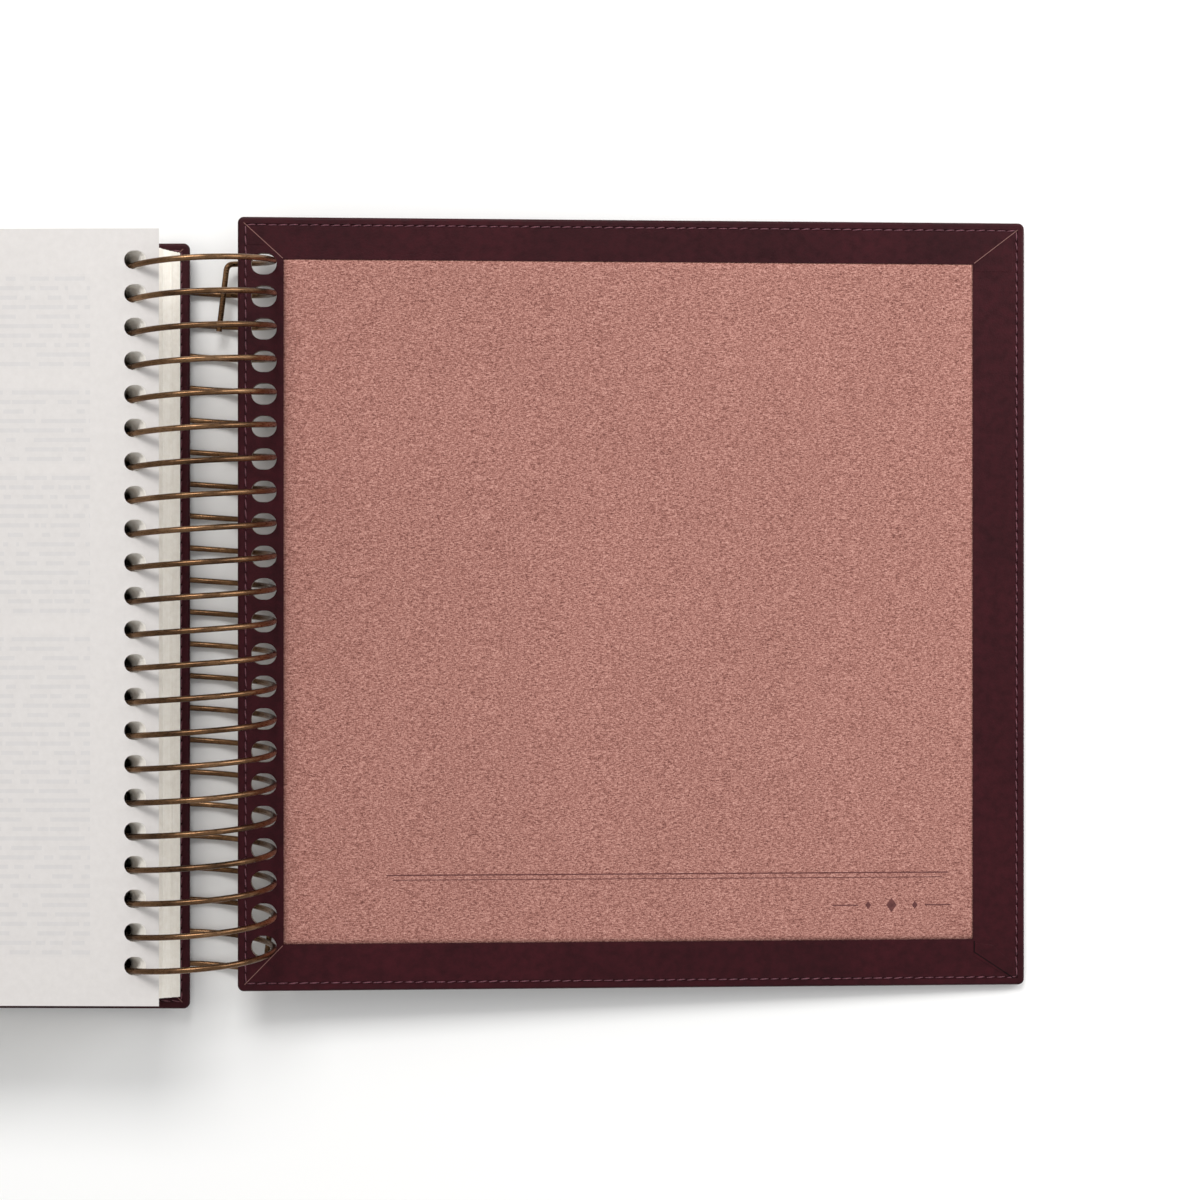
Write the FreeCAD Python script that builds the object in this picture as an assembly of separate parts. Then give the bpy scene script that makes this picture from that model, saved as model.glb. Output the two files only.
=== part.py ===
import FreeCAD, Part
import math
import os

# Coil-bound prayer book lying open at its back cover: every page is turned to
# the left, over the front cover, and the back cover lies on the right with its
# lined inner face up. Millimetres. +Z up, +Y towards the head of the book,
# +X towards the back cover's fore-edge. The origin is the centre of the bottom
# of the bounding box, on the surface that the book lies on.

V = FreeCAD.Vector

# ---- driving dimensions -----------------------------------------------------
PITCH = 8.467          # coil pitch, three turns to the inch
TURNS = 22             # holes along the spine
WIRE = 1.5             # wire diameter
COIL_R = 19.4          # coil centreline radius
COIL_X = -2.107         # coil axis in the book's frame
SHIFT_Y = 3.95         # head-to-tail shift of the book's frame
COIL_Y0 = 88.1         # where the wire passes the first back cover hole
THETA0 = -24.7         # angle of that hole round the coil, degrees from +X to +Z

COVER_W = 207.0        # cover, spine edge to fore-edge
COVER_H = 201.7        # cover, head to tail
COVER_T = 2.2          # cover thickness
SKIN = 0.5             # leather thickness
EDGE_R = 0.8           # rounding of the leather's edges
CORNER_R = 1.6         # rounding of the cover's corners
HOLE_IN = 6.8          # hole centres from the cover's spine edge
BACK_HOLE = (6.6, 5.6)     # back cover hole, across and along the spine
FRONT_HOLE = (7.6, 6.2)    # front cover hole, across and along the spine
BORDER = (11.9, 13.8, 11.0, 12.2)   # leather turn-in: spine, fore-edge, head, tail
LINING_T = 0.42        # suede lining thickness
STITCH_IN = 2.1        # stitch line from the edge
STITCH_W = 0.6         # width of the stitched groove
STITCH_D = 0.3         # depth of the groove
STITCH_UP = 0.02       # how far the thread stands proud

PAGE_W = 197.5         # page, spine edge to fore-edge
PAGE_HOLE_IN = 6.0     # hole centres from the page's spine edge
PAGE_UP = 7.9          # first hole to the page's head
PAGE_DOWN = 187.9      # first hole to the page's tail
PAGE_HOLE = (5.6, 4.7)     # page hole, across and along the spine
BLOCK_HALF = 14.2      # half of the page block's thickness
LEAF_T = 0.12          # first and last leaf
SECTIONS = 12          # sections between them
COVER_GAP = 0.15       # page block to cover

PAGE_CREEP = 1.283     # page holes sit this far towards the head of the wire
BACK_CREEP = -0.542     # the same for the back cover
FRONT_CREEP = 0.85    # and for the front cover
BACK_PULL = 1.682      # the wire bears on the fore-edge side of the back cover's holes

COIL_Z = COIL_R + WIRE / 2

# the back cover slopes from the wire down to its fore-edge on the table
wire_z = COIL_R * math.sin(math.radians(THETA0))
wire_x = COIL_R * math.cos(math.radians(THETA0))
reach = COVER_W - EDGE_R - HOLE_IN
back_tilt = 0.0
for _ in range(30):
    hz = COIL_Z + wire_z + BACK_PULL * math.sin(back_tilt)
    back_tilt = math.asin((hz - (COVER_T / 2 - EDGE_R) * math.cos(back_tilt) - EDGE_R) / reach)

# the page block and front cover lean from the coil down to the fore-edge
front_h = -(BLOCK_HALF + COVER_GAP + COVER_T / 2)
front_x = math.sqrt(COIL_R**2 - front_h**2)
left_tilt = 0.0
for _ in range(30):
    left_tilt = math.asin(
        (COIL_Z + (front_h - COVER_T / 2 + EDGE_R) * math.cos(left_tilt) - EDGE_R)
        / (front_x + reach))


def wire_y(theta, turn=0):
    """Where the wire is along the spine at an angle round the coil."""
    return COIL_Y0 + SHIFT_Y - PITCH * ((theta - THETA0) / 360.0 + turn)


# ---- small builders ---------------------------------------------------------
def slot_wire(cx, cy, z, size):
    """A rounded hole's outline, size across by size along, its ends round."""
    a, b = size[0] / 2, size[1] / 2
    s = a - b
    if s < 1e-6:
        return Part.Wire([Part.Circle(V(cx, cy, z), V(0, 0, 1), b).toShape()])
    p1, p2 = V(cx - s, cy - b, z), V(cx + s, cy - b, z)
    p3, p4 = V(cx + s, cy + b, z), V(cx - s, cy + b, z)
    return Part.Wire([
        Part.LineSegment(p1, p2).toShape(),
        Part.Arc(p2, V(cx + a, cy, z), p3).toShape(),
        Part.LineSegment(p3, p4).toShape(),
        Part.Arc(p4, V(cx - a, cy, z), p1).toShape()])


def slot_prism(cx, cy, z, size, height):
    return Part.Face(slot_wire(cx, cy, z, size)).extrude(V(0, 0, height))


def block(x0, x1, y0, y1, z0, z1):
    return Part.makeBox(x1 - x0, y1 - y0, z1 - z0, V(x0, y0, z0))


def ring(x0, x1, y0, y1, z0, z1, w):
    """A rectangular frame of width w inside the given outline."""
    return block(x0, x1, y0, y1, z0, z1).cut(
        block(x0 + w, x1 - w, y0 + w, y1 - w, z0 - 1, z1 + 1))


def one_solid(shape):
    solids = shape.Solids
    if len(solids) != 1:
        raise ValueError("expected one solid, got %d" % len(solids))
    return solids[0]


def cover(head, holes_y, hole):
    """A cover lying flat, outer face at z=0, spine edge at x=0, head at y=head.

    Leather wraps a board and turns in over its inner face, where a suede
    lining fills the middle. A line of thread runs round both faces.
    """
    tail = head - COVER_H
    body = block(0, COVER_W, tail, head, 0, COVER_T)
    upright = [e for e in body.Edges
               if abs(e.Vertexes[0].Point.z - e.Vertexes[1].Point.z) > 1]
    body = body.makeFillet(CORNER_R, upright)
    rim = [e for e in body.Edges
           if e.BoundBox.ZMax < 1e-6 or e.BoundBox.ZMin > COVER_T - 1e-6]
    body = body.makeFillet(EDGE_R, rim)
    board = block(SKIN + 0.4, COVER_W - SKIN - 0.4, tail + SKIN + 0.4,
                  head - SKIN - 0.4, SKIN, COVER_T - SKIN)
    lx0, lx1 = BORDER[0], COVER_W - BORDER[1]
    ly0, ly1 = tail + BORDER[3], head - BORDER[2]
    recess = block(lx0, lx1, ly0, ly1, COVER_T - SKIN, COVER_T + 1)
    lining = block(lx0, lx1, ly0, ly1, COVER_T - SKIN, COVER_T - SKIN + LINING_T)
    s = STITCH_IN - STITCH_W / 2
    line = (s, COVER_W - s, tail + s, head - s)
    low_cut = ring(*line, -1, STITCH_D, STITCH_W)
    top_cut = ring(*line, COVER_T - STITCH_D, COVER_T + 1, STITCH_W)
    low = ring(*line, -STITCH_UP, STITCH_D, STITCH_W)
    top = ring(*line, COVER_T - STITCH_D, COVER_T + STITCH_UP, STITCH_W)
    punches = [slot_prism(HOLE_IN, y, -1, hole, COVER_T + 2) for y in holes_y]
    leather = body.cut([board, recess, low_cut, top_cut] + punches)
    board = board.cut(punches)
    return {"leather": one_solid(leather), "board": one_solid(board),
            "lining": lining, "stitching": Part.Compound([low, top])}


def place(shape, m):
    s = shape.copy()
    s.transformShape(m, True)
    return s


# ---- back cover -------------------------------------------------------------
c, s = math.cos(back_tilt), math.sin(back_tilt)
up = (s, c)
hx = wire_x - BACK_PULL * c
hz = wire_z + BACK_PULL * s
back_y = [wire_y(THETA0, i) + BACK_CREEP for i in range(TURNS)]
back = cover(99.8 + SHIFT_Y, back_y, BACK_HOLE)
# local x runs down the slope, local z is the inner face's normal
ox = COIL_X + hx - HOLE_IN * c - COVER_T / 2 * s
oz = COIL_Z + hz + HOLE_IN * s - COVER_T / 2 * c
back_m = FreeCAD.Matrix(c, 0, s, ox, 0, 1, 0, 0, -s, 0, c, oz, 0, 0, 0, 1)

# ---- front cover ------------------------------------------------------------
theta_front = 180 + math.degrees(math.asin(-front_h / COIL_R) + left_tilt)
front_y = [wire_y(theta_front, i) + FRONT_CREEP for i in range(TURNS)]
front = cover(94.0 + SHIFT_Y, front_y, FRONT_HOLE)
c, s = math.cos(left_tilt), math.sin(left_tilt)
# local x runs to the left from the spine edge, so the flat cover is mirrored in x
mirror = FreeCAD.Matrix(-1, 0, 0, 0, 0, 1, 0, 0, 0, 0, 1, 0, 0, 0, 0, 1)
# coil-centred frame of the left half, leaning by left_tilt about the coil axis
left_m = FreeCAD.Matrix(c, 0, -s, COIL_X, 0, 1, 0, 0, s, 0, c, COIL_Z, 0, 0, 0, 1)
shift = FreeCAD.Matrix()
shift.move(V(-front_x + HOLE_IN, 0, front_h - COVER_T / 2))
front_m = left_m.multiply(shift).multiply(mirror)

# ---- page block -------------------------------------------------------------
def pages(h0, h1):
    """A stack of leaves from height h0 to h1, its holes following the coil."""
    def at(h):
        t = 180 - math.degrees(math.asin(h / COIL_R)) + math.degrees(left_tilt)
        return -math.sqrt(COIL_R**2 - h**2), wire_y(t) + PAGE_CREEP
    xa, ya = at(h0)
    xb, yb = at(h1)
    x1 = xa + PAGE_HOLE_IN
    x0 = x1 - PAGE_W
    y1, y0 = ya + PAGE_UP, ya - PAGE_DOWN
    outline = Part.makePolygon([V(x0, y0, h0), V(x1, y0, h0), V(x1, y1, h0),
                                V(x0, y1, h0), V(x0, y0, h0)])
    face = Part.makeFace([outline] + [slot_wire(xa, ya - PITCH * i, h0, PAGE_HOLE)
                                      for i in range(TURNS)], "Part::FaceMakerBullseye")
    if face.Area > PAGE_W * (PAGE_UP + PAGE_DOWN) - 100:
        raise ValueError("the holes are missing")
    return one_solid(face.extrude(V(xb - xa, yb - ya, h1 - h0)))


# ---- coil -------------------------------------------------------------------
def on_coil(theta, turn=0, r=COIL_R):
    a = math.radians(theta)
    return V(COIL_X + r * math.cos(a), wire_y(theta, turn), COIL_Z + r * math.sin(a))


def tube(points, cuts):
    """A round wire through points, its surface cut into faces at the given ones.

    Nine poles of an exact circle are carried along the path without twist, and
    each pole's track is one smooth curve through all the stations.
    """
    along, tangents = [0.0], []
    for a, b in zip(points, points[1:]):
        along.append(along[-1] + (b - a).Length)
    for k in range(len(points)):
        a, b = points[max(k - 1, 0)], points[min(k + 1, len(points) - 1)]
        tangents.append((b - a).normalize())
    side = tangents[0].cross(V(0, 1, 0))
    if side.Length < 0.1:
        side = tangents[0].cross(V(1, 0, 0))
    side.normalize()
    r, tracks = WIRE / 2, [[] for _ in range(9)]
    for p, t in zip(points, tangents):
        side = (side - t * side.dot(t)).normalize()
        up = t.cross(side)
        for k in range(9):
            a = math.pi / 4 * k
            reach = r * (1 if k % 2 == 0 else math.sqrt(2))
            tracks[k].append(p + side * (reach * math.cos(a)) + up * (reach * math.sin(a)))
    curves = []
    for track in tracks:
        c = Part.BSplineCurve()
        c.interpolate(Points=track, Parameters=along)
        curves.append(c)
    knots, mults = curves[0].getKnots(), curves[0].getMultiplicities()
    n = curves[0].NbPoles
    quarter = math.pi / 2 * r
    poles = [[curves[k].getPole(i + 1) for k in range(9)] for i in range(n)]
    weights = [[1.0 if k % 2 == 0 else math.sqrt(0.5) for k in range(9)] for _ in range(n)]
    whole = Part.BSplineSurface()
    whole.buildFromPolesMultsKnots(poles, mults, (3, 2, 2, 2, 3), knots,
                                   [quarter * k for k in range(5)], False, False,
                                   curves[0].Degree, 2, weights)
    faces, ends = [], [0] + list(cuts) + [len(points) - 1]
    for i, j in zip(ends, ends[1:]):
        part = whole.copy()
        part.segment(along[i], along[j], 0, 4 * quarter)
        faces.append(part.toShape())
    for shape, at in ((faces[0], points[0]), (faces[-1], points[-1])):
        rim = [e for e in shape.Edges if all((v.Point - at).Length < r * 1.01
                                             for v in e.Vertexes)
               and abs(e.Length - 2 * math.pi * r) < 0.05]
        faces.append(Part.Face(Part.Wire(rim[0])))
    shell = Part.makeShell(faces)
    shell.sewShape(1e-5)
    solid = Part.makeSolid(shell)
    if solid.Volume < 0:
        solid.reverse()
    return solid


def bend(points, radii, gap=1.6):
    """Stations along straight runs joined by tangent arcs."""
    out, last = [], points[0]

    def run(a, b):
        n = max(1, round((b - a).Length / gap))
        return [a + (b - a) * (k / n) for k in range(n)]

    for k in range(1, len(points) - 1):
        p = points[k]
        a = (points[k - 1] - p).normalize()
        b = (points[k + 1] - p).normalize()
        half = a.getAngle(b) / 2
        t = radii[k - 1] / math.tan(half)
        centre = p + (a + b).normalize() * (radii[k - 1] / math.sin(half))
        pa, pb = p + a * t, p + b * t
        out += run(last, pa)
        u = (pa - centre).normalize()
        w = (a * -1).normalize()
        sweep = math.pi - 2 * half
        n = max(4, round(sweep / math.radians(14)))
        out += [centre + (u * math.cos(sweep * q / n) + w * math.sin(sweep * q / n))
                * radii[k - 1] for q in range(n)]
        last = pb
    return out + run(last, points[-1]) + [points[-1]]


THETA_START = -50.0     # the helix proper starts here, below the first cover hole
THETA_END = 312.0       # and ends here, on its last turn
span = (THETA_END + 360 * (TURNS - 1) - THETA_START)
slope = math.atan2(PITCH, 2 * math.pi * COIL_R)
PER_TURN = 12           # stations in each turn


def heading(theta):
    """The wire's direction of travel, towards larger angles."""
    a = math.radians(theta)
    return V(-math.sin(a) * math.cos(slope), -math.sin(slope),
             math.cos(a) * math.cos(slope))


# head tail: bent inwards off the coil, then along the spine over the lower wires
p0 = on_coil(THETA_START)
d0 = heading(THETA_START) * -1
q1 = p0 + d0 * 5.0
q2 = q1 + V(-3.5, -0.6, 2.6)
q3 = q2 + V(-2.2, -17.6, -0.3)
head_tail = bend([p0, q1, q2, q3], [2.4, 1.8])

# foot tail: bent towards the head, outside the coil and under the back cover
p0 = on_coil(THETA_END, TURNS - 1)
d0 = heading(THETA_END)
q1 = p0 + d0 * 3.4
q2 = q1 + V(1.6, 14.5, -1.6)
foot_tail = bend([p0, q1, q2], [2.0])

steps = round(span / 360 * PER_TURN)
path = head_tail[:0:-1]
first = len(path)
path += [on_coil(THETA_START + span * k / steps) for k in range(steps)]
last = len(path)
path += foot_tail
wire = tube(path, list(range(first, last + 1, PER_TURN // 2)))

# ---- write ------------------------------------------------------------------
nodes = {"binding_coil": wire}
for k, v in back.items():
    nodes["back_cover_" + k] = place(v, back_m)
for k, v in front.items():
    nodes["front_cover_" + k] = place(v, front_m)
top = BLOCK_HALF - LEAF_T
step = 2 * top / SECTIONS
nodes["first_leaf"] = place(pages(-BLOCK_HALF, -top), left_m)
nodes["last_leaf"] = place(pages(top, BLOCK_HALF), left_m)
for k in range(SECTIONS):
    nodes["page_section_%02d" % (k + 1)] = place(
        pages(-top + k * step, -top + (k + 1) * step), left_m)

os.makedirs("parts", exist_ok=True)
whole = None
for name, shape in nodes.items():
    if not shape.isValid() or not shape.Solids:
        raise ValueError(name + " is not valid")
    shape.exportStep("parts/%s.step" % name)
    whole = shape.BoundBox if whole is None else whole.united(shape.BoundBox)
    print(name, len(shape.Solids), "solids", round(shape.Volume, 1), "mm3")
print("box", [round(v, 3) for v in (whole.XMin, whole.XMax, whole.YMin, whole.YMax,
                                    whole.ZMin, whole.ZMax)])
print("lining face", [round(v, 4) for v in back_m.multVec(
    V(100, 0, COVER_T - SKIN + LINING_T))], [round(v, 5) for v in up])
print("tilts", round(math.degrees(back_tilt), 3), round(math.degrees(left_tilt), 3))
length = sum((b - a).Length for a, b in zip(path, path[1:]))
print("coil axis", COIL_X, round(COIL_Z, 3), "wire", round(length, 1), "mm, volume over",
      "section x length", round(wire.Volume / (math.pi * WIRE**2 / 4 * length), 4))
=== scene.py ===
import math
import random

import bmesh
import bpy
from mathutils import Matrix, Vector
from mathutils.geometry import delaunay_2d_cdt


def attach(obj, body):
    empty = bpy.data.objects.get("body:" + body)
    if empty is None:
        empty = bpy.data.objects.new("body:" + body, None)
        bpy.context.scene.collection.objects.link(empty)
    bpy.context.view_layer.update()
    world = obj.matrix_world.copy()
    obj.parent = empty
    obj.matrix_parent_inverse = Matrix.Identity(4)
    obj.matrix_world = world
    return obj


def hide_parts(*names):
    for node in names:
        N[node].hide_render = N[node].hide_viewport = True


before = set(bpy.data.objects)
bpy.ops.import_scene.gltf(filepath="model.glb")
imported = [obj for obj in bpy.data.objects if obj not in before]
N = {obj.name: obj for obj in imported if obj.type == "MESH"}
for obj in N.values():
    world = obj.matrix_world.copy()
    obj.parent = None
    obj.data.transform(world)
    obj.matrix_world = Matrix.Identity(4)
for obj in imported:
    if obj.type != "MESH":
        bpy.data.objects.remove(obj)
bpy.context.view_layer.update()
random.seed(22)
MM = 0.001

# ---------------------------------------------------------------------------
# The book's own frame, in millimetres, as the CAD model states it
# ---------------------------------------------------------------------------
PITCH, TURNS, WIRE, COIL_R = 8.467, 22, 1.5, 19.4
COIL_X, COIL_Z, SHIFT_Y, COIL_Y0, THETA0 = -2.107, 20.15, 3.95, 88.1, -24.7
COVER_W, COVER_H, COVER_T, SKIN, HOLE_IN = 207.0, 201.7, 2.2, 0.5, 6.8
BORDER = (11.9, 13.8, 11.0, 12.2)
STITCH_IN = 2.1
PAGE_W, PAGE_HOLE_IN, PAGE_UP, PAGE_DOWN = 197.5, 6.0, 7.9, 187.9
PAGE_HOLE = (5.6, 4.7)
BLOCK_HALF, LEAF_T = 14.2, 0.12
PAGE_CREEP, BACK_PULL = 1.283, 1.682
BACK_TILT, LEFT_TILT = math.radians(3.173), math.radians(0.978)
COVER_GAP = 0.15

wire_z = COIL_R * math.sin(math.radians(THETA0))
wire_x = COIL_R * math.cos(math.radians(THETA0))


def wire_y(theta, turn=0):
    return COIL_Y0 + SHIFT_Y - PITCH * ((theta - THETA0) / 360.0 + turn)


c, s = math.cos(BACK_TILT), math.sin(BACK_TILT)
hx, hz = wire_x - BACK_PULL * c, wire_z + BACK_PULL * s
ox = COIL_X + hx - HOLE_IN * c - COVER_T / 2 * s
oz = COIL_Z + hz + HOLE_IN * s - COVER_T / 2 * c
# local x from the spine edge to the fore-edge, local z from the outer face to the inner
BACK = Matrix(((c, 0, s, ox), (0, 1, 0, 0), (-s, 0, c, oz), (0, 0, 0, 1)))
c, s = math.cos(LEFT_TILT), math.sin(LEFT_TILT)
LEFT = Matrix(((c, 0, -s, COIL_X), (0, 1, 0, 0), (s, 0, c, COIL_Z), (0, 0, 0, 1)))
front_h = -(BLOCK_HALF + COVER_GAP + COVER_T / 2)
front_x = math.sqrt(COIL_R**2 - front_h**2)
FRONT = LEFT @ Matrix(((-1, 0, 0, -front_x + HOLE_IN), (0, 1, 0, 0),
                       (0, 0, 1, front_h - COVER_T / 2), (0, 0, 0, 1)))
BACK_HEAD, FRONT_HEAD = 99.8 + SHIFT_Y, 94.0 + SHIFT_Y


def piece(name, bm, m=None, smooth=True):
    """A mesh in millimetres, put into the frame in metres."""
    me = bpy.data.meshes.new(name)
    if m is not None:
        bm.transform(m)
        if m.to_3x3().determinant() < 0:
            bmesh.ops.reverse_faces(bm, faces=bm.faces)
    bm.transform(Matrix.Scale(MM, 4))
    bm.to_mesh(me)
    bm.free()
    for p in me.polygons:
        p.use_smooth = smooth
    o = bpy.data.objects.new(name, me)
    bpy.context.scene.collection.objects.link(o)
    return o


# ---------------------------------------------------------------------------
# Materials
# ---------------------------------------------------------------------------
def material(name, rough=0.5, metallic=0.0, spec=0.5, base=(0.8, 0.8, 0.8), **sockets):
    m = bpy.data.materials.new(name)
    m.use_nodes = True
    b = m.node_tree.nodes["Principled BSDF"]
    b.inputs["Base Color"].default_value = (*base, 1)
    b.inputs["Roughness"].default_value = rough
    b.inputs["Metallic"].default_value = metallic
    b.inputs["Specular IOR Level"].default_value = spec
    for k, v in sockets.items():
        b.inputs[k.replace("_", " ")].default_value = v
    return m, m.node_tree, b


def node(nt, kind, **inputs):
    n = nt.nodes.new(kind)
    for k, v in inputs.items():
        k = k.replace("_", " ")
        if k in n.inputs:
            n.inputs[k].default_value = v
    return n


def coords(nt, scale=(1, 1, 1), rot=(0, 0, 0)):
    t = nt.nodes.new("ShaderNodeTexCoord")
    m = nt.nodes.new("ShaderNodeMapping")
    m.inputs["Scale"].default_value = scale
    m.inputs["Rotation"].default_value = rot
    nt.links.new(t.outputs["Object"], m.inputs["Vector"])
    return m.outputs["Vector"]


def ramp(nt, fac, *stops):
    r = nt.nodes.new("ShaderNodeValToRGB")
    e = r.color_ramp.elements
    e[0].position, e[0].color = stops[0][0], (*stops[0][1], 1)
    e[1].position, e[1].color = stops[-1][0], (*stops[-1][1], 1)
    for p, col in stops[1:-1]:
        x = e.new(p)
        x.color = (*col, 1)
    nt.links.new(fac, r.inputs["Fac"])
    return r.outputs["Color"]


def noise(nt, vec, scale, detail=4, rough=0.55, distort=0.0):
    n = nt.nodes.new("ShaderNodeTexNoise")
    n.inputs["Scale"].default_value = scale
    n.inputs["Detail"].default_value = detail
    n.inputs["Roughness"].default_value = rough
    n.inputs["Distortion"].default_value = distort
    nt.links.new(vec, n.inputs["Vector"])
    return n.outputs["Fac"]


def math_node(nt, op, a, b=None, c=None, clamp=False):
    n = nt.nodes.new("ShaderNodeMath")
    n.operation = op
    n.use_clamp = clamp
    for i, v in enumerate((a, b, c)):
        if v is None:
            continue
        if isinstance(v, (int, float)):
            n.inputs[i].default_value = v
        else:
            nt.links.new(v, n.inputs[i])
    return n.outputs[0]


def mix(nt, fac, a, b, mode="MIX"):
    n = nt.nodes.new("ShaderNodeMix")
    n.data_type = "RGBA"
    n.blend_type = mode
    for sock, v in ((n.inputs["Factor"], fac), (n.inputs["A"], a), (n.inputs["B"], b)):
        pass
    ins = [i for i in n.inputs if i.type == "RGBA"]
    fin = n.inputs[0]
    if isinstance(fac, (int, float)):
        fin.default_value = fac
    else:
        nt.links.new(fac, fin)
    for sock, v in zip(ins, (a, b)):
        if isinstance(v, tuple):
            sock.default_value = (*v, 1)
        else:
            nt.links.new(v, sock)
    return [o for o in n.outputs if o.type == "RGBA"][0]


def bump(nt, bsdf, height, strength, distance):
    n = nt.nodes.new("ShaderNodeBump")
    n.inputs["Strength"].default_value = strength
    n.inputs["Distance"].default_value = distance
    nt.links.new(height, n.inputs["Height"])
    nt.links.new(n.outputs["Normal"], bsdf.inputs["Normal"])


def leather_material():
    m, nt, b = material("burgundy_leather", rough=0.5, spec=0.14)
    v = coords(nt)
    cloud = noise(nt, v, 28, 5, 0.6, 0.4)
    fine = noise(nt, v, 420, 6, 0.62)
    col = ramp(nt, cloud, (0.28, (0.024, 0.0020, 0.0044)), (0.5, (0.031, 0.0027, 0.0056)),
               (0.74, (0.039, 0.0038, 0.0072)))
    fleck = ramp(nt, fine, (0.35, (0.72, 0.70, 0.72)), (0.62, (1.12, 1.10, 1.10)))
    nt.links.new(mix(nt, 0.85, col, fleck, "MULTIPLY"), b.inputs["Base Color"])
    vo = nt.nodes.new("ShaderNodeTexVoronoi")
    vo.feature = "DISTANCE_TO_EDGE"
    vo.inputs["Scale"].default_value = 1150
    nt.links.new(coords(nt), vo.inputs["Vector"])
    cell = math_node(nt, "MINIMUM", vo.outputs["Distance"], 0.18)
    wrinkle = noise(nt, coords(nt, (1, 0.25, 1)), 240, 5, 0.65, 0.8)
    h = math_node(nt, "ADD", math_node(nt, "MULTIPLY", cell, 1.6),
                  math_node(nt, "MULTIPLY", wrinkle, 0.8))
    bump(nt, b, h, 0.30, 0.00018)
    r = ramp(nt, fine, (0.3, (0.40, 0.40, 0.40)), (0.75, (0.62, 0.62, 0.62)))
    nt.links.new(r, b.inputs["Roughness"])
    return m


def suede_material():
    m, nt, b = material("rose_suede", rough=0.93, spec=0.12,
                        Sheen_Weight=0.06, Sheen_Roughness=0.45,
                        Sheen_Tint=(0.90, 0.62, 0.52, 1))
    # short nap, combed along one diagonal
    nap = noise(nt, coords(nt, (1, 3.2, 1), (0, 0, math.radians(-42))), 1150, 5, 0.74, 0.25)
    grain = noise(nt, coords(nt, (1.5, 1, 1), (0, 0, math.radians(35))), 2100, 3, 0.8)
    cloud = noise(nt, coords(nt), 16, 4, 0.55, 0.5)
    f = math_node(nt, "ADD", math_node(nt, "MULTIPLY", nap, 0.62),
                  math_node(nt, "MULTIPLY", grain, 0.38))
    col = ramp(nt, f, (0.40, (0.130, 0.048, 0.040)), (0.50, (0.352, 0.155, 0.127)),
               (0.60, (0.600, 0.325, 0.275)))
    shade = ramp(nt, cloud, (0.32, (0.965, 0.962, 0.960)), (0.68, (1.02, 1.02, 1.02)))
    nt.links.new(mix(nt, 1.0, col, shade, "MULTIPLY"), b.inputs["Base Color"])
    bump(nt, b, f, 0.65, 0.00030)
    return m


def ink_material():
    m, nt, b = material("debossed_ink", rough=0.75, spec=0.2)
    f = noise(nt, coords(nt), 900, 4, 0.6)
    nt.links.new(ramp(nt, f, (0.3, (0.080, 0.026, 0.026)), (0.7, (0.150, 0.052, 0.048))),
                 b.inputs["Base Color"])
    bump(nt, b, f, 0.3, 0.0001)
    return m


def thread_material():
    m, nt, b = material("mauve_thread", rough=0.62, spec=0.3,
                        Sheen_Weight=0.2, Sheen_Roughness=0.5)
    f = noise(nt, coords(nt, (1, 1, 1), (0, 0, 0.7)), 2600, 4, 0.6)
    nt.links.new(ramp(nt, f, (0.3, (0.055, 0.012, 0.022)), (0.7, (0.23, 0.070, 0.095))),
                 b.inputs["Base Color"])
    bump(nt, b, f, 0.6, 0.00012)
    return m


def wire_material():
    m, nt, b = material("antique_copper_wire", rough=0.30, metallic=1.0, spec=0.5)
    v = coords(nt)
    f = noise(nt, v, 70, 5, 0.6, 0.3)
    fine = noise(nt, coords(nt, (1, 5, 1)), 700, 4, 0.6)
    col = ramp(nt, f, (0.30, (0.060, 0.032, 0.018)), (0.52, (0.165, 0.090, 0.046)),
               (0.75, (0.330, 0.195, 0.105)))
    nt.links.new(mix(nt, 0.5, col, ramp(nt, fine, (0.35, (0.66, 0.64, 0.62)),
                                        (0.65, (1.1, 1.08, 1.05))), "MULTIPLY"),
                 b.inputs["Base Color"])
    nt.links.new(ramp(nt, fine, (0.3, (0.22, 0.22, 0.22)), (0.8, (0.40, 0.40, 0.40))),
                 b.inputs["Roughness"])
    bump(nt, b, fine, 0.15, 0.00004)
    return m


def board_material():
    m, nt, b = material("binders_board", rough=0.9, spec=0.15)
    f = noise(nt, coords(nt, (1, 1, 4)), 500, 5, 0.7)
    nt.links.new(ramp(nt, f, (0.3, (0.20, 0.155, 0.115)), (0.7, (0.40, 0.33, 0.26))),
                 b.inputs["Base Color"])
    bump(nt, b, f, 0.5, 0.0002)
    return m


def paper_material(name, dark, light, warm=0.0):
    m, nt, b = material(name, rough=0.88, spec=0.18)
    fibre = noise(nt, coords(nt), 600, 6, 0.62)
    layer = noise(nt, coords(nt, (0.02, 0.02, 1)), 3600, 2, 0.5)
    col = ramp(nt, fibre, (0.3, dark), (0.7, light))
    col = mix(nt, 0.5, col, ramp(nt, layer, (0.35, (0.93, 0.92, 0.90)),
                                 (0.65, (1.0, 1.0, 1.0))), "MULTIPLY")
    nt.links.new(col, b.inputs["Base Color"])
    bump(nt, b, fibre, 0.12, 0.00006)
    return m


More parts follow.
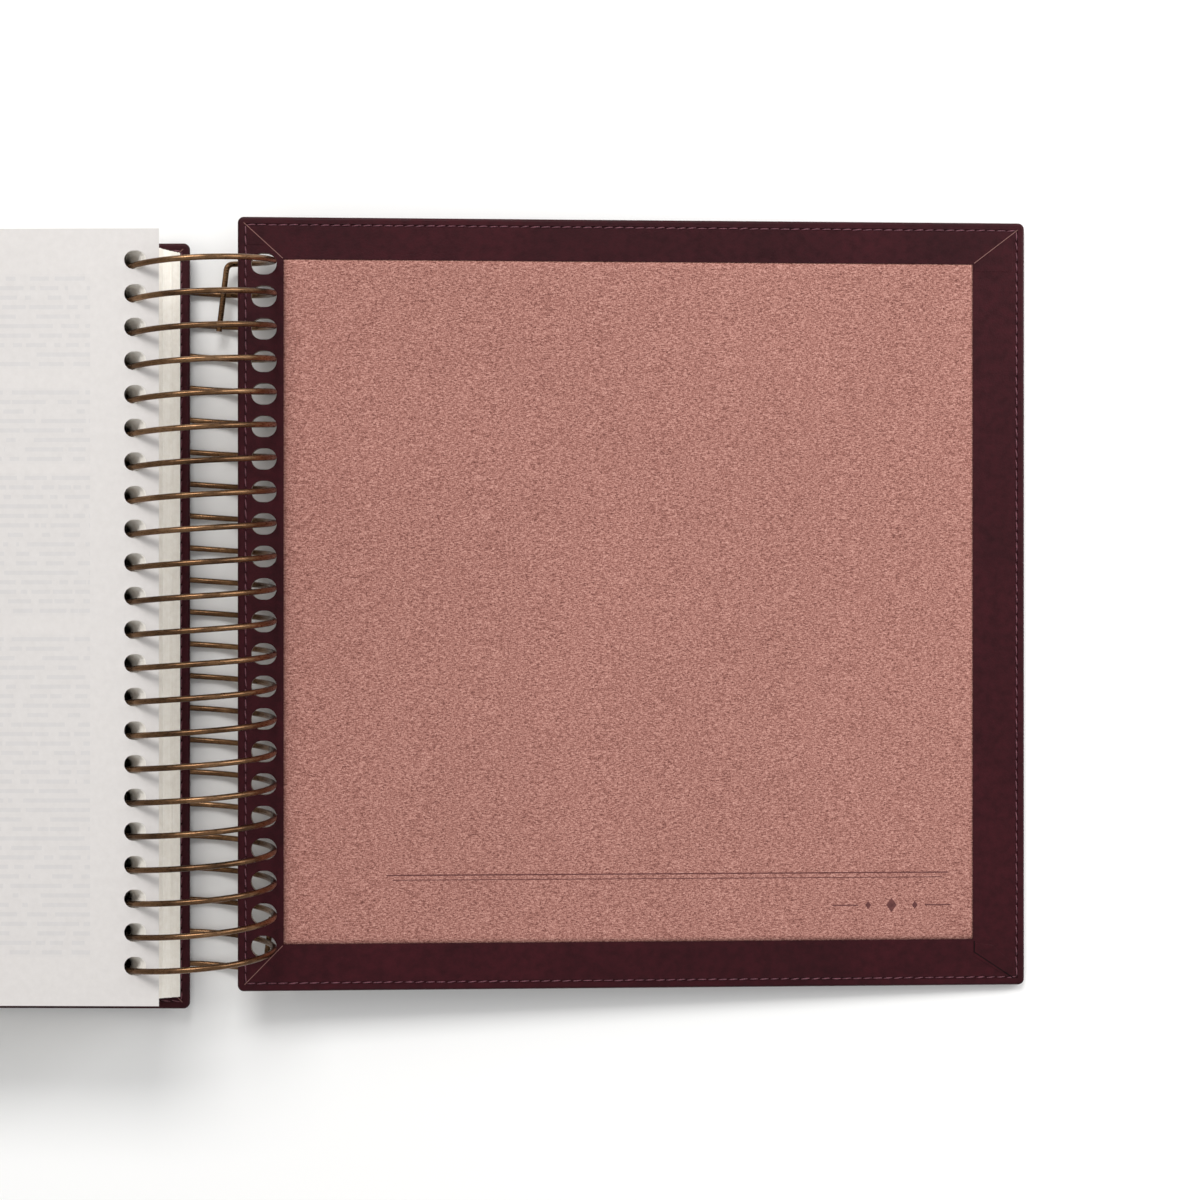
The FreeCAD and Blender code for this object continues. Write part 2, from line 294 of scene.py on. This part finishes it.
def leaf_material():
    """The last leaf: thin, slightly grey, with the blocks of grey lines on its
    other side showing through. The lines are plain bars of uneven length."""
    m, nt, b = material("last_leaf_paper", rough=0.80, spec=0.2)
    t = nt.nodes.new("ShaderNodeTexCoord")
    sep = nt.nodes.new("ShaderNodeSeparateXYZ")
    nt.links.new(t.outputs["Object"], sep.inputs[0])
    x, y = sep.outputs["X"], sep.outputs["Y"]
    fibre = noise(nt, coords(nt), 500, 6, 0.62)
    cloud = noise(nt, coords(nt), 12, 4, 0.55)
    base = ramp(nt, fibre, (0.3, (0.655, 0.628, 0.612)), (0.7, (0.695, 0.668, 0.652)))
    base = mix(nt, 0.6, base, ramp(nt, cloud, (0.3, (0.965, 0.965, 0.962)),
                                   (0.7, (1.0, 1.0, 1.0))), "MULTIPLY")
    # bars: one per 2.39 mm down the leaf, each broken into uneven words
    step = 0.00239
    row = math_node(nt, "FLOOR", math_node(nt, "DIVIDE", y, step))
    frac = math_node(nt, "FRACT", math_node(nt, "DIVIDE", y, step))
    bar = math_node(nt, "MULTIPLY",
                    math_node(nt, "GREATER_THAN", frac, 0.30),
                    math_node(nt, "LESS_THAN", frac, 0.74))
    vec = nt.nodes.new("ShaderNodeCombineXYZ")
    nt.links.new(math_node(nt, "MULTIPLY", x, 260.0), vec.inputs[0])
    nt.links.new(math_node(nt, "MULTIPLY", row, 7.31), vec.inputs[1])
    words = nt.nodes.new("ShaderNodeTexNoise")
    words.inputs["Scale"].default_value = 1.0
    words.inputs["Detail"].default_value = 1.0
    nt.links.new(vec.outputs[0], words.inputs["Vector"])
    word = math_node(nt, "GREATER_THAN", words.outputs["Fac"], 0.44)
    # text block: a column that stops short of the holes, and of head and tail
    right, head, tail = leaf_block
    inside = math_node(nt, "MULTIPLY", math_node(nt, "LESS_THAN", x, right),
                       math_node(nt, "MULTIPLY", math_node(nt, "LESS_THAN", y, head),
                                 math_node(nt, "GREATER_THAN", y, tail)))
    gap = nt.nodes.new("ShaderNodeTexNoise")
    gap.noise_dimensions = "1D"
    gap.inputs["Scale"].default_value = 0.23
    nt.links.new(row, gap.inputs["W"])
    inside = math_node(nt, "MULTIPLY", inside,
                       math_node(nt, "GREATER_THAN", gap.outputs["Fac"], 0.40))
    ink = math_node(nt, "MULTIPLY", math_node(nt, "MULTIPLY", bar, word), inside)
    ink = math_node(nt, "MULTIPLY", ink, 0.17)
    grey = math_node(nt, "MULTIPLY", inside, 0.045)
    nt.links.new(mix(nt, math_node(nt, "ADD", ink, grey), base, (0.42, 0.43, 0.46)),
                 b.inputs["Base Color"])
    bump(nt, b, fibre, 0.10, 0.00006)
    return m


leaf_block = (-0.027, (83.6 + SHIFT_Y) * MM, (-90.6 + SHIFT_Y) * MM)
LEATHER, SUEDE, INK, THREAD = (leather_material(), suede_material(), ink_material(),
                               thread_material())
WIRE_M, BOARD = wire_material(), board_material()
# painted shade: a near-black leather for the strips under the folded tab, standing in for its
# shadow
TAB_SHADE = material("painted_tab_shade", rough=0.8, spec=0.1, base=(0.007, 0.0020, 0.0028))[0]
WORN = material("worn_leather_edge", rough=0.7, spec=0.2, base=(0.23, 0.115, 0.10))[0]
PAPER = paper_material("cream_paper", (0.88, 0.845, 0.785), (0.95, 0.925, 0.875))
PAPER2 = paper_material("cream_paper_shade", (0.84, 0.80, 0.735), (0.93, 0.90, 0.845))
LEAF = leaf_material()


def dress(o, mat):
    if not o.data.materials:
        o.data.materials.append(mat)
    for i in range(len(o.data.materials)):
        o.data.materials[i] = mat


for k in ("back_cover_leather", "front_cover_leather"):
    dress(N[k], LEATHER)
for k in ("back_cover_board", "front_cover_board"):
    dress(N[k], BOARD)
dress(N["binding_coil"], WIRE_M)


# ---------------------------------------------------------------------------
# Camera: straight down over the middle of the view
# ---------------------------------------------------------------------------
cam_d = bpy.data.cameras.new("camera")
cam = bpy.data.objects.new("camera", cam_d)
bpy.context.scene.collection.objects.link(cam)
cam_d.sensor_width = 36
cam_d.lens = 36 * 650 / 318.8
cam.location = ((COIL_X + 103.5) * MM, SHIFT_Y * MM, 0.650)
cam.rotation_euler = (0, 0, 0)
cam_d.clip_start, cam_d.clip_end = 0.01, 20
bpy.context.scene.camera = cam


# ---------------------------------------------------------------------------
# Pages: separate thin leaves, each a little out of line with its neighbours
# ---------------------------------------------------------------------------
def slot(cx, cy, size, n=16):
    a, b = size[0] / 2, size[1] / 2
    d = a - b
    out = []
    for k in range(n):
        t = 2 * math.pi * (k + 0.5) / n
        out.append((cx + (d if math.cos(t) > 0 else -d) + b * math.cos(t),
                    cy + b * math.sin(t)))
    return out


def punched(x0, x1, y0, y1, holes, extra=()):
    """Triangles of a rectangle with holes, and its loops."""
    outer = [(x0, y0), (x1, y0), (x1, y1), (x0, y1)]
    verts, edges = [], []
    loops = [outer] + holes
    for loop in loops:
        i = len(verts)
        verts += [Vector(p) for p in loop]
        edges += [(i + k, i + (k + 1) % len(loop)) for k in range(len(loop))]
    verts += [Vector(p) for p in extra]
    v, e, f, *_ = delaunay_2d_cdt(verts, edges, [], 0, 1e-6)
    keep = []
    for t in f:
        cx = sum(v[i].x for i in t) / 3
        cy = sum(v[i].y for i in t) / 3
        if not (x0 < cx < x1 and y0 < cy < y1):
            continue
        hit = False
        if cx > x1 - 14:
            for hcx, hcy, a, b in centres:
                d = a - b
                dx = max(abs(cx - hcx) - d, 0)
                if dx * dx + (cy - hcy) ** 2 < (b * 0.985) ** 2:
                    hit = True
                    break
        if not hit:
            keep.append(t)
    return v, keep


def at(h):
    t = 180 - math.degrees(math.asin(h / COIL_R)) + math.degrees(LEFT_TILT)
    return -math.sqrt(COIL_R**2 - h**2), wire_y(t) + PAGE_CREEP


def add_leaf(bm, h0, h1, jx, jy, height=None, extra=(), segs=16, cut=0.0):
    """One leaf between two heights. height(x, y) lifts it."""
    global centres
    xa, ya = at(0.5 * (h0 + h1))
    xh, yh = xa + jx, ya + jy
    x1 = xh + PAGE_HOLE_IN
    x0 = x1 - PAGE_W + cut
    y1, y0 = yh + PAGE_UP, yh - PAGE_DOWN
    centres = [(xh, yh - PITCH * i, PAGE_HOLE[0] / 2, PAGE_HOLE[1] / 2)
               for i in range(TURNS)]
    holes = [slot(xh, yh - PITCH * i, PAGE_HOLE, segs) for i in range(TURNS)]
    v, tris = punched(x0, x1, y0, y1, holes, extra)
    lift = height or (lambda x, y: 0.0)
    low = [bm.verts.new((p.x, p.y, h0 + lift(p.x, p.y))) for p in v]
    top = [bm.verts.new((p.x, p.y, h1 + lift(p.x, p.y))) for p in v]
    count = {}
    for t in tris:
        a = (v[t[1]] - v[t[0]]).cross(v[t[2]] - v[t[0]])
        t = t if a > 0 else t[::-1]
        bm.faces.new([top[i] for i in t])
        bm.faces.new([low[i] for i in reversed(t)])
        for k in range(len(t)):
            e = (t[k], t[(k + 1) % len(t)])
            count[e] = True
    for (a, b) in count:
        if (b, a) not in count:
            bm.faces.new([low[a], low[b], top[b], top[a]])
    for w in low + top:
        if not w.link_faces:
            bm.verts.remove(w)


SECTIONS, PER = 12, 10
top = BLOCK_HALF - LEAF_T
step = 2 * top / SECTIONS
drift = 0.0
for k in range(SECTIONS):
    bm = bmesh.new()
    a = -top + k * step
    shift_x = random.uniform(-0.16, 0.16)
    for j in range(PER):
        drift = 0.75 * drift + random.uniform(-0.10, 0.10)
        jx = shift_x + drift + random.uniform(-0.05, 0.05)
        jy = random.uniform(-0.09, 0.09)
        t = step / PER
        add_leaf(bm, a + j * t + 0.006, a + (j + 1) * t - 0.006, jx, jy,
                 cut=random.uniform(0, 0.25))
    o = piece("pages_%02d" % (k + 1), bm, LEFT, smooth=False)
    o.data.materials.append(PAPER if k % 2 else PAPER2)
    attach(o, "page_block")
    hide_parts("page_section_%02d" % (k + 1))

# first leaf, against the front cover
bm = bmesh.new()
add_leaf(bm, -BLOCK_HALF, -top - 0.01, 0, 0)
o = piece("first_leaf_sheet", bm, LEFT, smooth=False)
o.data.materials.append(PAPER)
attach(o, "page_block")
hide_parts("first_leaf")

# last leaf, on top: it lies in slow, very shallow waves, since the closed cover
# comes down to within a fraction of a millimetre of it
xa, ya = at(BLOCK_HALF)
X1, Y1 = xa + PAGE_HOLE_IN, ya + PAGE_UP
Y0 = ya - PAGE_DOWN


def leaf_lift(x, y):
    u = (X1 - x) / PAGE_W
    v = (y - Y0) / (Y1 - Y0)
    return 0.012 + 0.010 * math.sin(2.4 * v * math.pi + 0.6) * (0.3 + u)


extra = []
for i in range(1, 40):
    for j in range(1, 39):
        x = X1 - 10.5 - (PAGE_W - 12) * i / 40
        extra.append((x, Y0 + (Y1 - Y0) * j / 39))
extra += [(X1 - 1.2, Y0 + (Y1 - Y0) * j / 60) for j in range(1, 60)]
extra += [(X1 - 10.2, Y0 + (Y1 - Y0) * j / 60) for j in range(1, 60)]
bm = bmesh.new()
add_leaf(bm, top + 0.01, BLOCK_HALF, 0, 0, height=leaf_lift, extra=extra, segs=32)
o = piece("last_leaf_sheet", bm, LEFT, smooth=False)
o.data.materials.append(LEAF)
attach(o, "page_block")
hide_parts("last_leaf")


# ---------------------------------------------------------------------------
# Stitches: each one a short twisted length of thread that dips at both ends
# ---------------------------------------------------------------------------
def stitch(bm, p, d, up, length, r, tilt):
    side = up.cross(d)
    d = (d + side * tilt).normalized()
    side = up.cross(d)
    rings, rows = 7, 6
    prev = None
    for i in range(rings):
        t = i / (rings - 1)
        q = p + d * (t - 0.5) * length + up * (0.26 * math.sin(math.pi * t) - 0.16)
        rr = r * (0.35 + 0.65 * math.sin(math.pi * min(max(t, 0.08), 0.92)) ** 0.5)
        loop = [bm.verts.new(q + (side * math.cos(2 * math.pi * k / rows)
                                  + up * math.sin(2 * math.pi * k / rows)) * rr)
                for k in range(rows)]
        if prev:
            for k in range(rows):
                bm.faces.new([prev[k], prev[(k + 1) % rows], loop[(k + 1) % rows], loop[k]])
        else:
            bm.faces.new(loop[::-1])
        prev = loop
    bm.faces.new(prev)


def stitches(name, m, head, body, cad):
    bm = bmesh.new()
    tail = head - COVER_H
    i = STITCH_IN
    corners = [(i, tail + i), (COVER_W - i, tail + i), (COVER_W - i, head - i), (i, head - i)]
    for z, up in ((COVER_T - 0.19, Vector((0, 0, 1))), (0.32, Vector((0, 0, -1)))):
        for k in range(4):
            a, b = Vector((*corners[k], z)), Vector((*corners[(k + 1) % 4], z))
            run = (b - a).length
            n = round(run / 2.75)
            d = (b - a).normalized()
            for j in range(n):
                w = random.uniform(-0.10, 0.10)
                p = a + d * (j + 0.5) * run / n + up.cross(d) * w * 0.5
                stitch(bm, p, d, up, run / n * random.uniform(0.80, 0.90),
                       random.uniform(0.15, 0.19), 0.10 + random.uniform(-0.07, 0.07))
    o = piece(name, bm, m)
    o.data.materials.append(THREAD)
    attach(o, body)
    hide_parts(cad)


stitches("back_cover_stitches", BACK, BACK_HEAD, "back_cover", "back_cover_stitching")
stitches("front_cover_stitches", FRONT, FRONT_HEAD, "front_cover", "front_cover_stitching")


# ---------------------------------------------------------------------------
# Suede lining: a closed panel, softly uneven, its edges tucked under the leather
# ---------------------------------------------------------------------------
def lining(name, m, head, body, cad, marked):
    tail = head - COVER_H
    x0, x1 = BORDER[0] - 0.15, COVER_W - BORDER[1] + 0.15
    y0, y1 = tail + BORDER[3] - 0.15, head - BORDER[2] + 0.15
    nx, ny = 120, 118
    bm = bmesh.new()
    grid = []
    for j in range(ny + 1):
        row = []
        for i in range(nx + 1):
            u, v = i / nx, j / ny
            x, y = x0 + (x1 - x0) * u, y0 + (y1 - y0) * v
            e = min(x - x0, x1 - x, y - y0, y1 - y)
            z = COVER_T - SKIN + 0.43 - 0.16 * math.exp(-(e / 0.9) ** 2)
            z += 0.018 * math.sin(x * 0.11 + 1.3) * math.sin(y * 0.09)
            row.append(bm.verts.new((x, y, z)))
        grid.append(row)
    for j in range(ny):
        for i in range(nx):
            bm.faces.new([grid[j][i], grid[j][i + 1], grid[j + 1][i + 1], grid[j + 1][i]])
    rim = grid[0] + [r[-1] for r in grid[1:]] + grid[-1][-2::-1] + [r[0] for r in grid[-2:0:-1]]
    low = [bm.verts.new((w.co.x, w.co.y, COVER_T - SKIN + 0.01)) for w in rim]
    for k in range(len(rim)):
        n = (k + 1) % len(rim)
        bm.faces.new([rim[n], rim[k], low[k], low[n]])
    bm.faces.new(low[::-1])
    o = piece(name, bm, m)
    o.data.materials.append(SUEDE)
    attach(o, body)
    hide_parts(cad)
    if not marked:
        return
    # a plain rule and a small lozenge ornament near the foot
    bm = bmesh.new()
    zt = COVER_T - SKIN + 0.40

    def slab(points, h=0.06):
        lo = [bm.verts.new((px, py, zt)) for px, py in points]
        hi = [bm.verts.new((px, py, zt + h)) for px, py in points]
        bm.faces.new(lo[::-1])
        bm.faces.new(hi)
        for k in range(len(points)):
            n = (k + 1) % len(points)
            bm.faces.new([lo[k], lo[n], hi[n], hi[k]])

    def bar(xa, xb, y, w):
        slab([(xa, y - w / 2), (xb, y - w / 2), (xb + w, y), (xb, y + w / 2),
              (xa, y + w / 2), (xa - w, y)])

    yr = BACK_HEAD - 99.8 - SHIFT_Y + (-71.9 + SHIFT_Y)
    xr0, xr1 = 38.8, 186.4
    bar(xr0, xr1, yr, 0.32)
    bar(xr0 + 1.5, xr1 - 1.5, yr - 1.25, 0.20)
    yo, xo = yr - 8.6, 171.5
    for dx, r in ((0, 1.9), (-6.2, 1.05), (6.2, 1.05)):
        ring = [(xo + dx + r * 0.72 * math.cos(t), yo + r * math.sin(t))
                for t in (math.pi * 0.5 * q for q in range(4))]
        slab(ring)
    bar(xo - 15.5, xo - 9.0, yo, 0.30)
    bar(xo + 9.0, xo + 15.5, yo, 0.30)
    o = piece("back_cover_ornament", bm, m, smooth=False)
    o.data.materials.append(INK)
    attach(o, body)


lining("back_cover_suede", BACK, BACK_HEAD, "back_cover", "back_cover_lining", True)
lining("front_cover_suede", FRONT, FRONT_HEAD, "front_cover", "front_cover_lining", False)


# ---------------------------------------------------------------------------
# Corner folds of the leather turn-in: thin overlapping flaps
# ---------------------------------------------------------------------------
def flap(bm, points, z0, z1, soft=0.12):
    """A thin leather flap with a softened upper edge."""
    cx = sum(p[0] for p in points) / len(points)
    cy = sum(p[1] for p in points) / len(points)
    lo = [bm.verts.new((x, y, z0)) for x, y in points]
    mid = [bm.verts.new((x, y, z0 + (z1 - z0) * 0.55)) for x, y in points]

    def inset(x, y):
        d = math.hypot(cx - x, cy - y)
        k = soft / d
        return (x + (cx - x) * k, y + (cy - y) * k)
    hi = [bm.verts.new((*inset(x, y), z1)) for x, y in points]
    bm.faces.new(lo[::-1])
    bm.faces.new(hi)
    for a, b in ((lo, mid), (mid, hi)):
        for k in range(len(points)):
            n = (k + 1) % len(points)
            bm.faces.new([a[k], a[n], b[n], b[k]])


def corners(name, m, head, body):
    tail = head - COVER_H
    W = COVER_W
    e = 3.2     # the flaps stop inside the stitch line
    bm = bmesh.new()
    z0, z1 = COVER_T - 0.05, COVER_T + 0.085
    # spine-side head: the spine strip laps over the head strip along the mitre
    # and stops short of the first hole
    flap(bm, [(3.0, head - 3.0), (3.0, head - 7.4), (7.7, head - 7.4)], z0, z1)
    # spine-side foot
    flap(bm, [(3.0, tail + 3.0), (7.5, tail + 8.0), (3.0, tail + 8.0)], z0, z1)
    # fore-edge head: a short mitre
    flap(bm, [(W - e, head - e), (W - BORDER[1] + 0.3, head - BORDER[2] - 0.2),
              (W - BORDER[1] + 0.3, head - 13.0), (W - e, head - 13.0)], z0, z1)
    # fore-edge foot: a folded tab over the foot strip
    flap(bm, [(W - BORDER[1] + 0.6, tail + BORDER[3] - 1.0),
              (W - BORDER[1] + 0.2, tail + BORDER[3] - 4.4),
              (W - 6.6, tail + 3.4), (W - 3.4, tail + 3.4),
              (W - 3.6, tail + 6.2), (W - 8.6, tail + BORDER[3] - 1.6)], z0, z1 + 0.015)
    o = piece(name, bm, m, smooth=False)
    o.data.materials.append(LEATHER)
    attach(o, body)
    # the cut edges of the turn-in, worn pale, run from each corner to the lining
    bm = bmesh.new()
    for (ax, ay), (bx, by), w in (
            ((1.6, head - 1.6), (BORDER[0] - 0.2, head - BORDER[2] + 0.2), 0.18),
            ((W - 1.9, head - 1.9), (W - BORDER[1] + 0.3, head - BORDER[2] + 0.2), 0.16),
            ((1.8, tail + 1.8), (BORDER[0] - 0.2, tail + BORDER[3] - 0.3), 0.16)):
        q = math.hypot(bx - ax, by - ay)
        sx, sy = -(by - ay) / q * w / 2, (bx - ax) / q * w / 2
        flap(bm, [(ax - sx, ay - sy), (bx - sx, by - sy), (bx + sx, by + sy),
                  (ax + sx, ay + sy)], z0, z1 + 0.015, soft=0.04)
    if bm.calc_volume(signed=True) < 0:
        bmesh.ops.reverse_faces(bm, faces=bm.faces)
    o = piece(name + "_edges", bm, m, smooth=False)
    o.data.materials.append(WORN)
    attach(o, body)
    # painted shade: dark strips under the folded tab at the fore-edge foot, standing in for the
    # shadow in the gap beneath it
    bm = bmesh.new()
    tab_shade_path = [(W - BORDER[1] + 0.35, tail + BORDER[3] - 0.4),
              (W - BORDER[1] + 0.35, tail + BORDER[3] - 3.4), (W - 3.0, tail + 1.9)]
    for (ax, ay), (bx, by) in zip(tab_shade_path, tab_shade_path[1:]):
        q = math.hypot(bx - ax, by - ay)
        sx, sy = -(by - ay) / q * 0.14, (bx - ax) / q * 0.14
        flap(bm, [(ax - sx, ay - sy), (bx - sx, by - sy), (bx + sx, by + sy),
                  (ax + sx, ay + sy)], z0, z1 + 0.02, soft=0.04)
    if bm.calc_volume(signed=True) < 0:
        bmesh.ops.reverse_faces(bm, faces=bm.faces)
    o = piece(name + "_painted_shade", bm, m, smooth=False)
    o.data.materials.append(TAB_SHADE)
    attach(o, body)


corners("back_cover_corner_folds", BACK, BACK_HEAD, "back_cover")
corners("front_cover_corner_folds", FRONT, FRONT_HEAD, "front_cover")

# ---------------------------------------------------------------------------
# Floor and light
# ---------------------------------------------------------------------------
bm = bmesh.new()
bmesh.ops.create_grid(bm, x_segments=1, y_segments=1, size=4000)
floor = piece("floor", bm, None, smooth=False)
floor.location.z = -0.0002
fm, fnt, fb = material("pale_floor", rough=0.9, spec=0.1, base=(0.92, 0.92, 0.915))
floor.data.materials.append(fm)

world = bpy.data.worlds.new("studio")
bpy.context.scene.world = world
world.use_nodes = True
world.node_tree.nodes["Background"].inputs[0].default_value = (1, 1, 1, 1)
world.node_tree.nodes["Background"].inputs[1].default_value = 0.52


def light(name, loc, aim, size, power, colour=(1, 1, 1), size_y=None):
    d = bpy.data.lights.new(name, "AREA")
    d.shape = "RECTANGLE"
    d.size, d.size_y = size, size_y or size
    d.energy = power
    d.color = colour
    o = bpy.data.objects.new(name, d)
    o.location = loc
    o.rotation_euler = (Vector(aim) - Vector(loc)).to_track_quat("-Z", "Y").to_euler()
    bpy.context.scene.collection.objects.link(o)


light("key", (-0.15, 1.25, 1.35), (0.08, 0, 0), 0.9, 20.5, (1.0, 0.99, 0.975), 0.6)
light("fill", (0.7, -0.8, 1.5), (0.05, 0, 0), 1.6, 2.5)
light("side", (0.75, 0.35, 0.42), (0, 0, 0.015), 0.5, 3.8)

vs = bpy.context.scene.view_settings
vs.view_transform = "Standard"
vs.look = "None"
